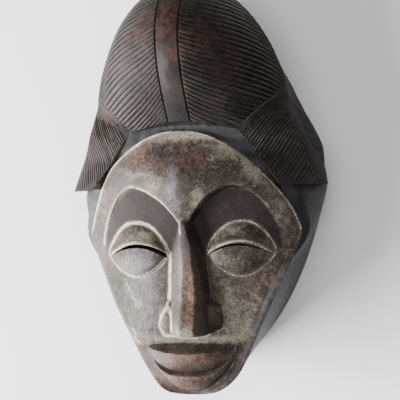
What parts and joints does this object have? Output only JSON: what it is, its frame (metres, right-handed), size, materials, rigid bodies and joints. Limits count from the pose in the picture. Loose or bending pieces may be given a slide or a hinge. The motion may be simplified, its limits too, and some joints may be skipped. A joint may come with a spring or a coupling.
{
  "type": "carved face mask",
  "caption": "Carved dark wood face mask with closed eyes, full lips and a crested coiffure with side tresses, hollow behind.",
  "frame": {"origin": "on the flat plane of the back rim, which the mask rests on, under the middle of its bounding box", "axes": "+Z out of the face, +Y to the top of the head, +X to the right of someone looking at the face"},
  "size_m": [0.1882, 0.2888, 0.117],
  "materials": {
    "carved_wood": "dark stained hardwood, hand rubbed to a low sheen, with pale clay left in the creases"
  },
  "bodies": {
    "root": {"mask": "carved_wood"}
  },
  "joints": []
}
